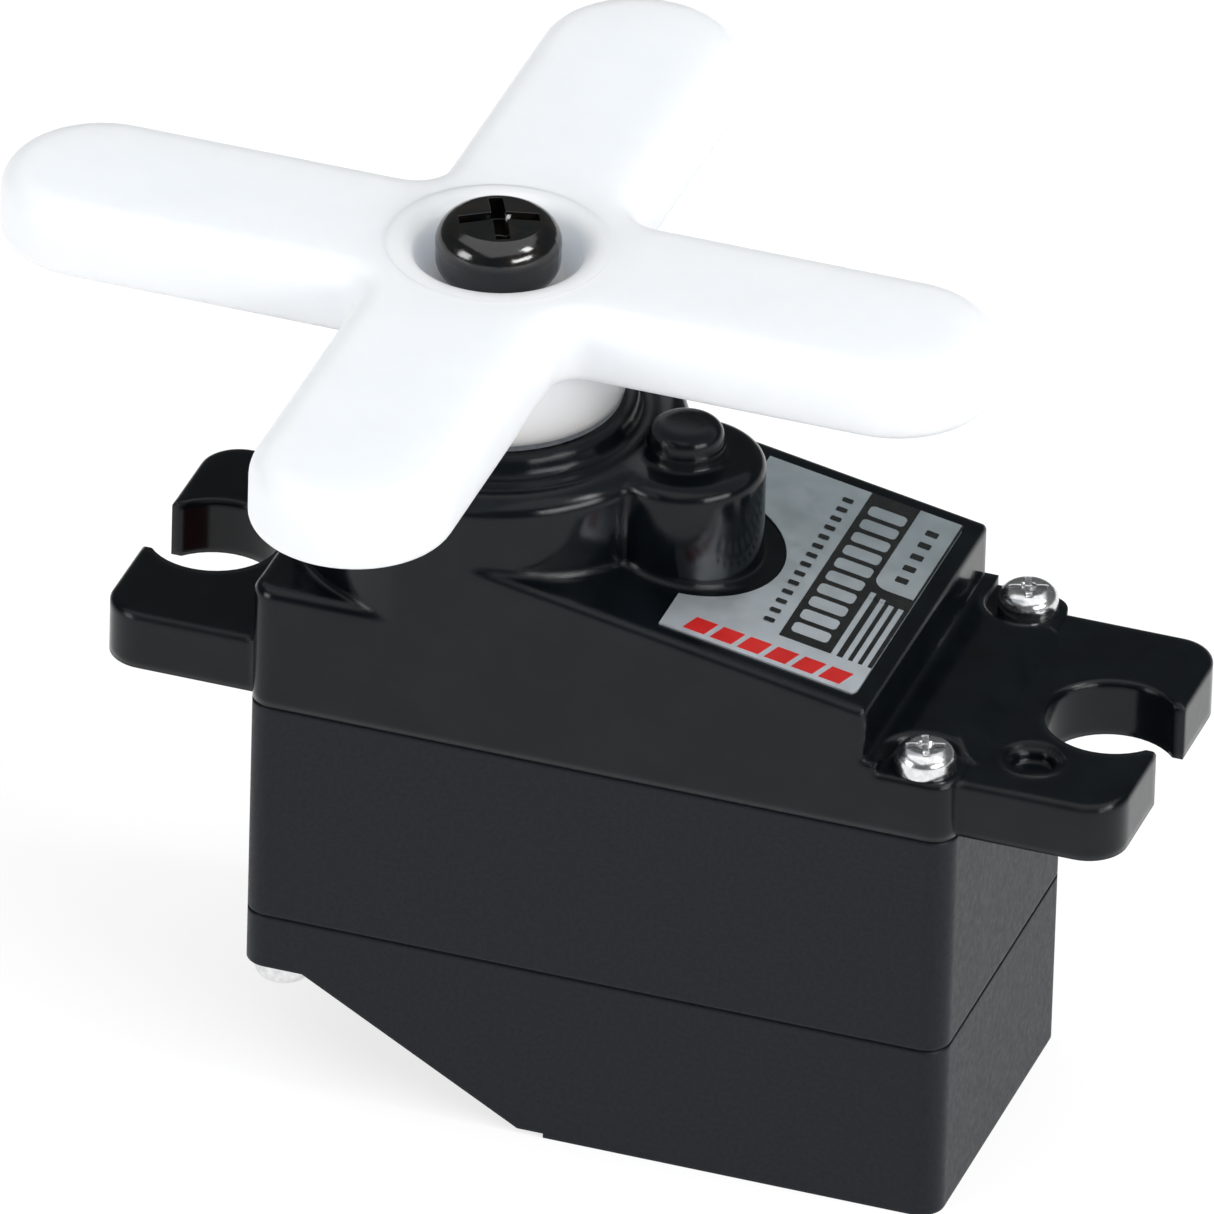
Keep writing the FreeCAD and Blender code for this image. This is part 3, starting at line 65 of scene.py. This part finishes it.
# ---------------------------------------------------------------- node helpers
class Tree:
    """One material's node tree, with short calls for the nodes that the finishes share."""

    def __init__(self, name):
        self.material = bpy.data.materials.new(name)
        self.material.use_nodes = True
        self.nodes = self.material.node_tree.nodes
        self.links = self.material.node_tree.links
        self.shader = self.nodes["Principled BSDF"]
        place = self.nodes.new("ShaderNodeTexCoord")
        scale = self.nodes.new("ShaderNodeVectorMath")
        scale.operation = "SCALE"
        scale.inputs["Scale"].default_value = 1 / MM
        self.links.new(place.outputs["Object"], scale.inputs[0])
        self.position = scale.outputs["Vector"]

    def set(self, **values):
        for key, value in values.items():
            self.shader.inputs[key.replace("_", " ")].default_value = value

    def noise(self, per_mm, detail=3.0, roughness=0.55):
        texture = self.nodes.new("ShaderNodeTexNoise")
        texture.inputs["Scale"].default_value = per_mm
        texture.inputs["Detail"].default_value = detail
        texture.inputs["Roughness"].default_value = roughness
        self.links.new(self.position, texture.inputs["Vector"])
        return texture.outputs["Fac"]

    def cells(self, per_mm):
        texture = self.nodes.new("ShaderNodeTexVoronoi")
        texture.inputs["Scale"].default_value = per_mm
        self.links.new(self.position, texture.inputs["Vector"])
        return texture.outputs["Distance"]

    def rings(self, centre, per_mm):
        """Turned rings round an upright axis through centre, in mm."""
        mapping = self.nodes.new("ShaderNodeMapping")
        mapping.inputs["Location"].default_value = (-centre[0], -centre[1], 0)
        self.links.new(self.position, mapping.inputs["Vector"])
        texture = self.nodes.new("ShaderNodeTexWave")
        texture.wave_type = "RINGS"
        texture.rings_direction = "Z"
        texture.inputs["Scale"].default_value = per_mm
        texture.inputs["Distortion"].default_value = RING_DISTORTION
        texture.inputs["Detail"].default_value = WAVE_DETAIL
        self.links.new(mapping.outputs["Vector"], texture.inputs["Vector"])
        return texture.outputs["Fac"]

    def bands(self, axis, per_mm):
        texture = self.nodes.new("ShaderNodeTexWave")
        texture.wave_type = "BANDS"
        texture.bands_direction = axis
        texture.inputs["Scale"].default_value = per_mm
        texture.inputs["Distortion"].default_value = BAND_DISTORTION
        texture.inputs["Detail"].default_value = WAVE_DETAIL
        self.links.new(self.position, texture.inputs["Vector"])
        return texture.outputs["Fac"]

    def spread(self, factor, low, high, from_low=0.3, from_high=0.7):
        remap = self.nodes.new("ShaderNodeMapRange")
        remap.inputs["From Min"].default_value = from_low
        remap.inputs["From Max"].default_value = from_high
        remap.inputs["To Min"].default_value = low
        remap.inputs["To Max"].default_value = high
        self.links.new(factor, remap.inputs["Value"])
        return remap.outputs["Result"]

    def colours(self, factor, dark, light, low=0.3, high=0.7):
        ramp = self.nodes.new("ShaderNodeValToRGB")
        ramp.color_ramp.elements[0].position = low
        ramp.color_ramp.elements[0].color = (*dark, 1)
        ramp.color_ramp.elements[1].position = high
        ramp.color_ramp.elements[1].color = (*light, 1)
        self.links.new(factor, ramp.inputs["Fac"])
        self.links.new(ramp.outputs["Color"], self.shader.inputs["Base Color"])

    def roughness(self, factor, low, high):
        self.links.new(self.spread(factor, low, high), self.shader.inputs["Roughness"])

    def soft_edges(self, radius_mm):
        """A normal that rounds every edge a little, inner corners too, for the bumps to build on."""
        node = self.nodes.new("ShaderNodeBevel")
        node.samples = BEVEL_SAMPLES
        node.inputs["Radius"].default_value = radius_mm * MM
        return node.outputs["Normal"]

    def bump(self, factor, depth_mm, strength=1.0, after=None):
        node = self.nodes.new("ShaderNodeBump")
        node.inputs["Strength"].default_value = strength
        node.inputs["Distance"].default_value = depth_mm * MM
        self.links.new(factor, node.inputs["Height"])
        if after is not None:
            self.links.new(after, node.inputs["Normal"])
        self.links.new(node.outputs["Normal"], self.shader.inputs["Normal"])
        return node.outputs["Normal"]


# ---------------------------------------------------------------- finishes
def glossy_black():
    """The top cover's polished black moulding, with a faint orange peel."""
    t = Tree("cover_plastic")
    t.colours(t.noise(0.6), (0.0018, 0.0027, 0.0036), (0.0038, 0.0054, 0.0072))
    t.roughness(t.noise(2.2), 0.11, 0.18)
    t.set(Specular_IOR_Level=0.23, IOR=1.5)
    fine = t.bump(t.noise(9.0, 4.0), 0.003, 0.4, t.soft_edges(0.4))
    t.bump(t.noise(1.1, 2.0), 0.014, 0.3, fine)
    return t.material


def satin_black():
    """The case's spark-textured charcoal moulding."""
    t = Tree("case_plastic")
    t.colours(t.noise(7.0, 5.0), (0.0030, 0.0040, 0.0068), (0.0068, 0.0086, 0.0132))
    t.roughness(t.noise(5.0), 0.42, 0.52)
    t.set(Specular_IOR_Level=0.21, IOR=1.5)
    grain = t.bump(t.noise(14.0, 4.0, 0.6), 0.005, 0.22, t.soft_edges(0.16))
    t.bump(t.noise(4.0, 3.0), 0.005, 0.2, grain)
    return t.material


def nylon():
    """The horn's translucent white nylon."""
    t = Tree("horn_nylon")
    t.colours(t.noise(0.5, 4.0), (0.766, 0.788, 0.821), (0.784, 0.806, 0.839))
    t.roughness(t.noise(3.0), 0.32, 0.44)
    t.set(Subsurface_Weight=0.85, Subsurface_Radius=(1.0, 1.1, 1.2), Subsurface_Scale=3.2 * MM,
          Specular_IOR_Level=0.4, IOR=1.53)
    fine = t.bump(t.noise(6.0, 4.0), 0.005, 0.4, t.soft_edges(0.4))
    t.bump(t.noise(0.7, 2.0), 0.03, 0.25, fine)
    return t.material


def black_steel():
    """The horn screw's glossy black oxide, with a brown tint where it thins."""
    t = Tree("black_screw")
    t.colours(t.noise(1.1, 3.0), (0.0030, 0.0032, 0.0036), (0.011, 0.007, 0.005), 0.45, 0.75)
    t.roughness(t.noise(5.0), 0.10, 0.20)
    t.set(Specular_IOR_Level=0.6, IOR=1.55, Metallic=0.0)
    fine = t.bump(t.noise(10.0, 3.0), 0.004, 0.4, t.soft_edges(0.05))
    t.bump(t.noise(1.6, 2.0), 0.02, 0.35, fine)
    return t.material


def metal(name, dark, light, rough, marks=None, grain=16.0, soft=0.03):
    """A turned or ground metal. marks is (centre, rings per mm) where the piece shows turning."""
    t = Tree(name)
    t.colours(t.noise(grain * 0.3, 4.0), dark, light)
    t.roughness(t.noise(grain * 0.5, 4.0), rough[0], rough[1])
    t.set(Metallic=1.0)
    fine = t.bump(t.noise(grain, 3.0), 0.004, 0.4, t.soft_edges(soft))
    if marks:
        t.bump(t.rings(marks[0], marks[1]), 0.006, 0.5, fine)
    return t.material


def moulded(name, dark, light, rough=(0.35, 0.5), grain=8.0):
    t = Tree(name)
    t.colours(t.noise(grain * 0.4, 4.0), dark, light)
    t.roughness(t.noise(grain * 0.6), rough[0], rough[1])
    t.bump(t.noise(grain, 4.0), 0.008, 0.5)
    return t.material


def foil(name, dark, light, metallic, rough):
    """Printed label film with a faint cloudiness."""
    t = Tree(name)
    t.colours(t.noise(0.8, 3.0), dark, light)
    t.roughness(t.noise(1.5), rough[0], rough[1])
    t.set(Metallic=metallic)
    t.bump(t.noise(1.6, 2.0), 0.004, 0.25)
    return t.material


def silver_foil():
    """The label's silver film, with a painted sheen: its colour is paler towards its front edge, in place of
    reflected light.
    """
    t = Tree("label_foil")
    axes = t.nodes.new("ShaderNodeSeparateXYZ")
    t.links.new(t.position, axes.inputs["Vector"])
    # Painted sheen: the colour runs from light at the front edge (Y -5.3 mm) to dark by Y 3 mm, standing in
    # for a reflection.
    painted_sheen = t.spread(axes.outputs["Y"], 1.0, 0.0, -5.3, 3.0)
    cloud = t.spread(t.noise(0.9, 3.0), -0.08, 0.08)
    mixed = t.nodes.new("ShaderNodeMath")
    mixed.operation = "ADD"
    t.links.new(painted_sheen, mixed.inputs[0])
    t.links.new(cloud, mixed.inputs[1])
    t.colours(mixed.outputs["Value"], (0.40, 0.46, 0.49), (0.84, 0.89, 0.94), 0.0, 1.0)
    t.roughness(t.noise(1.5), 0.28, 0.38)
    t.set(Metallic=0.78)
    t.bump(t.noise(1.6, 2.0), 0.004, 0.25)
    return t.material


def wound_copper():
    t = Tree("copper")
    t.colours(t.bands("Z", 1.6), (0.30, 0.09, 0.03), (0.74, 0.32, 0.13), 0.15, 0.8)
    t.set(Metallic=0.9)
    t.roughness(t.noise(6.0), 0.22, 0.38)
    t.bump(t.bands("Z", 1.6), 0.06, 0.9)
    return t.material


def circuit():
    """Green solder resist over darker laminate, with tracks that show as slightly raised."""
    t = Tree("board")
    t.colours(t.cells(0.9), (0.006, 0.075, 0.028), (0.012, 0.15, 0.05), 0.2, 0.4)
    t.roughness(t.noise(4.0), 0.22, 0.36)
    t.bump(t.cells(0.9), 0.03, 0.5)
    return t.material


BRASS = ((0.46, 0.30, 0.10), (0.72, 0.50, 0.20))
STEEL = ((0.42, 0.42, 0.44), (0.66, 0.66, 0.68))
out_low, out_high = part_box("output_shaft")
OUT_X = (out_low.x + out_high.x) / 2 / MM

finishes = {
    "cover_plastic": glossy_black(),
    "case_plastic": satin_black(),
    "horn_nylon": nylon(),
    "black_screw": black_steel(),
    "bright_screw": metal("bright_screw", (0.64, 0.64, 0.65), (0.82, 0.82, 0.83), (0.16, 0.28), soft=0.08),
    "label_foil": silver_foil(),
    "label_red": foil("label_red", (0.17, 0.007, 0.007), (0.23, 0.012, 0.011), 0.0, (0.35, 0.5)),
    "bearing_steel": metal("bearing_steel", (0.55, 0.55, 0.57), (0.75, 0.75, 0.77), (0.10, 0.2),
                           ((OUT_X, 0), 3.0)),
    "steel": metal("steel", *STEEL, (0.2, 0.34)),
    "brass": metal("brass", *BRASS, (0.2, 0.34), ((OUT_X, 0), 2.2)),
    "can_steel": metal("can_steel", (0.38, 0.38, 0.40), (0.56, 0.56, 0.58), (0.26, 0.4)),
    "motor_plastic": moulded("motor_plastic", (0.60, 0.58, 0.50), (0.72, 0.70, 0.62)),
    "magnet": moulded("magnet", (0.020, 0.020, 0.022), (0.055, 0.053, 0.052), (0.45, 0.65), 12.0),
    "copper": wound_copper(),
    "pot_plastic": moulded("pot_plastic", (0.02, 0.06, 0.20), (0.03, 0.09, 0.28)),
    "pot_rotor_plastic": moulded("pot_rotor_plastic", (0.62, 0.62, 0.57), (0.76, 0.76, 0.70)),
    "carbon": moulded("carbon", (0.008, 0.008, 0.008), (0.02, 0.02, 0.02), (0.5, 0.7), 14.0),
    "board": circuit(),
    "chip_plastic": moulded("chip_plastic", (0.010, 0.010, 0.011), (0.022, 0.022, 0.024), (0.4, 0.55), 12.0),
    "ceramic": moulded("ceramic", (0.24, 0.17, 0.10), (0.36, 0.27, 0.17), (0.35, 0.5), 10.0),
    "lead_sleeve": moulded("lead_sleeve", (0.28, 0.012, 0.010), (0.40, 0.02, 0.015), (0.3, 0.42), 6.0),
}

for part in frame["record"]["subparts"]:
    node = nodes[part["node"]]
    node.data.materials.clear()
    node.data.materials.append(finishes[part["material_slot"]])


# ---------------------------------------------------------------- printing on the deck label
label_low, label_high = (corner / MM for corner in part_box("deck_label"))
DECK_SLOPE = 0.178
LAYER = 0.010               # thickness of one layer of print, in mm
ARC_STEPS = 6
# The layout, in mm along X and Y. A row is its start, its end, how many marks, and their share of the pitch.
PANEL_X = (5.02, 6.71)
PANEL_Y = (-3.70, 5.30)
TAB_PANEL_X = (6.70, label_high.x)
TAB_PANEL_Y = (-0.15, 5.30)
LINES_X = [(6.90, 7.09), (7.27, 7.41), (7.59, 7.73), (7.91, label_high.x)]
LINES_Y = (-3.70, -0.10)
LINE_ENDS = [(6.72, 6.89, -0.16, 0.17), (7.09, 7.26, -0.16, 0.0)]
BLOCKS_X = (5.24, 6.44)
BLOCKS_Y = (-3.40, 4.75, 10, 0.70)
BLOCK_R = 0.16
# Start and end along X, start and end along Y, and the radius of its one round corner.
TAB = (6.62, 7.98, 0.52, 5.28, 0.5)
LONG_DASHES_X = (4.34, 4.68)
LONG_DASHES_Y = (-3.40, 4.72, 14, 0.36)
TAB_DASHES_X = (7.14, 7.54)
TAB_DASHES_Y = (0.95, 4.60, 5, 0.42)
DASH_R = 0.05
FLASHES_X = (2.25, 7.55, 6, 0.78)
FLASHES_Y = (-5.08, -4.32)
FLASH_LEAN = 0.22


def label_z(x):
    """The label's upper face, which slopes down towards the motor end."""
    return label_high.z - DECK_SLOPE * (x - label_low.x)


def rounded(x0, x1, y0, y1, r=0.0, corners="abcd"):
    """A rectangle's outline. Corners a, b, c and d go round from (x0, y0), and those named are rounded."""
    centres = {"a": (x0 + r, y0 + r, 180), "b": (x1 - r, y0 + r, 270), "c": (x1 - r, y1 - r, 0),
               "d": (x0 + r, y1 - r, 90)}
    square = {"a": (x0, y0), "b": (x1, y0), "c": (x1, y1), "d": (x0, y1)}
    outline = []
    for corner, (x, y, start) in centres.items():
        if r == 0 or corner not in corners:
            outline.append(square[corner])
            continue
        for step in range(ARC_STEPS + 1):
            angle = math.radians(start + 90 * step / ARC_STEPS)
            outline.append((x + r * math.cos(angle), y + r * math.sin(angle)))
    return outline


def slanted(x0, x1, y0, y1, lean):
    """A block whose ends lean along X."""
    return [(x0, y0), (x1, y0), (x1 + lean, y1), (x0 + lean, y1)]


def printed(name, outlines, layer, material):
    """One colour of print: thin flat solids on the label, in the given layer over it."""
    builder = bmesh.new()
    for outline in outlines:
        rings = []
        for height in (layer - 1, layer):
            rings.append([builder.verts.new((x * MM, y * MM, (label_z(x) + height * LAYER) * MM))
                          for x, y in outline])
        count = len(outline)
        builder.faces.new(list(reversed(rings[0])))
        builder.faces.new(rings[1])
        for i in range(count):
            j = (i + 1) % count
            builder.faces.new((rings[0][i], rings[0][j], rings[1][j], rings[1][i]))
    mesh = bpy.data.meshes.new(name)
    builder.to_mesh(mesh)
    builder.free()
    mesh.materials.append(material)
    piece = bpy.data.objects.new(name, mesh)
    bpy.context.scene.collection.objects.link(piece)
    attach(piece, "case")
    return piece


def row(start, end, count, share):
    """Equal stretches along a line, each filling its share of the pitch."""
    pitch = (end - start) / count
    for i in range(count):
        middle = start + pitch * (i + 0.5)
        yield middle - pitch * share / 2, middle + pitch * share / 2


def print_label():
    ink = foil("label_ink", (0.005, 0.0055, 0.006), (0.008, 0.009, 0.009), 0.0, (0.22, 0.32))
    silver = finishes["label_foil"]
    red = foil("label_red_ink", (0.40, 0.008, 0.007), (0.48, 0.014, 0.011), 0.0, (0.30, 0.42))

    panel = [rounded(*PANEL_X, *PANEL_Y), rounded(*TAB_PANEL_X, *TAB_PANEL_Y)]
    panel += [rounded(*line, *LINES_Y) for line in LINES_X]
    printed("label_panel", panel, 1, ink)

    blocks = [rounded(*BLOCKS_X, *block, BLOCK_R) for block in row(*BLOCKS_Y)]
    ends = [rounded(*end) for end in LINE_ENDS]
    printed("label_blocks", blocks + ends + [rounded(*TAB, "a")], 2, silver)

    dashes = [rounded(*LONG_DASHES_X, *dash, DASH_R) for dash in row(*LONG_DASHES_Y)]
    dashes += [rounded(*TAB_DASHES_X, *dash, DASH_R) for dash in row(*TAB_DASHES_Y)]
    printed("label_dashes", dashes, 3, ink)

    flashes = [slanted(*flash, *FLASHES_Y, FLASH_LEAN) for flash in row(*FLASHES_X)]
    printed("label_flashes", flashes, 1, red)


print_label()


# ---------------------------------------------------------------- stage, lights, camera
FLOOR_HALF = 0.6            # m
FLOOR_GAP = 0.02            # mm, so that the base and the floor aren't one surface
FLOOR_GLOW = 0.74
SKY_COLOUR = (0.94, 1.0, 0.99, 1)
SKY_STRENGTH = 0.12
VIEW_AZIMUTH = 18.22        # degrees, 0 is from -Y and 90 is from +X
VIEW_ELEVATION = 31.57
VIEW_ROLL = 1.705
VIEW_DISTANCE = 0.909       # m
VIEW_AIM = (-1.489, -0.905, 2.782)     # mm
SENSOR = 36                 # mm, as is the lens
LENS = 871.5
OVERHEAD_PLACE = (0.02, -0.02, 0.42)   # m, as is its size
OVERHEAD_SIZE = 0.70
OVERHEAD_POWER = 1.8        # W
# Name, azimuth and elevation in degrees, distance, width and height in m, power in W.
SIDE_LAMPS = [
    ("right", 64, 21, 0.45, 0.28, 0.08, 1.12),
    ("right_high", 92, 49, 0.45, 0.11, 0.11, 0.6),
    ("left", -46, 18, 0.45, 0.16, 0.17, 0.8),
]


def place_floor():
    size = FLOOR_HALF
    low = cad_low.z - FLOOR_GAP * MM
    mesh = bpy.data.meshes.new("floor")
    mesh.from_pydata([(-size, -size, low), (size, -size, low), (size, size, low), (-size, size, low)], [],
                     [(0, 1, 2, 3)])
    floor = bpy.data.objects.new("floor", mesh)
    bpy.context.scene.collection.objects.link(floor)
    t = Tree("floor_paper")
    t.colours(t.noise(0.02), (0.30, 0.30, 0.303), (0.32, 0.32, 0.32))
    t.roughness(t.noise(0.05), 0.7, 0.8)
    t.set(Specular_IOR_Level=0.2, Emission_Color=(1, 1, 1, 1), Emission_Strength=FLOOR_GLOW)
    mesh.materials.append(t.material)


def place_lamp(name, where, width, height, power):
    data = bpy.data.lights.new(name, "AREA")
    data.shape = "RECTANGLE"
    data.size = width
    data.size_y = height
    data.energy = power
    lamp = bpy.data.objects.new(name, data)
    lamp.location = where
    lamp.rotation_mode = "QUATERNION"
    lamp.rotation_quaternion = (-Vector(where)).to_track_quat("-Z", "Y")
    bpy.context.scene.collection.objects.link(lamp)


def place_camera():
    """The view of the reference: from the front right and above, far away through a long lens."""
    azimuth = math.radians(VIEW_AZIMUTH)
    elevation = math.radians(VIEW_ELEVATION)
    roll = math.radians(VIEW_ROLL)
    back = Vector((math.sin(azimuth) * math.cos(elevation), -math.cos(azimuth) * math.cos(elevation),
                   math.sin(elevation)))
    data = bpy.data.cameras.new("camera")
    data.sensor_width = SENSOR
    data.lens = LENS
    data.clip_start = 0.01
    data.clip_end = 10
    camera = bpy.data.objects.new("camera", data)
    camera.rotation_mode = "QUATERNION"
    turn = Matrix.Rotation(roll, 4, "Z").to_quaternion()
    camera.rotation_quaternion = (-back).to_track_quat("-Z", "Y") @ turn
    camera.location = Vector(VIEW_AIM) * MM + back * VIEW_DISTANCE
    bpy.context.scene.collection.objects.link(camera)
    bpy.context.scene.camera = camera


def aimed(azimuth, elevation, distance):
    """A place in metres, seen from the object. Azimuth 0 is -Y and 90 is +X, in degrees."""
    around, up = math.radians(azimuth), math.radians(elevation)
    level = distance * math.cos(up)
    return (level * math.sin(around), -level * math.cos(around), distance * math.sin(up))


def light_studio():
    world = bpy.data.worlds.new("studio")
    world.use_nodes = True
    sky = world.node_tree.nodes["Background"]
    sky.inputs["Color"].default_value = SKY_COLOUR
    sky.inputs["Strength"].default_value = SKY_STRENGTH
    bpy.context.scene.world = world
    place_lamp("overhead", OVERHEAD_PLACE, OVERHEAD_SIZE, OVERHEAD_SIZE, OVERHEAD_POWER)
    for name, azimuth, elevation, distance, width, height, power in SIDE_LAMPS:
        place_lamp(name, aimed(azimuth, elevation, distance), width, height, power)


place_floor()
light_studio()
place_camera()
bpy.context.scene.view_settings.view_transform = "Standard"
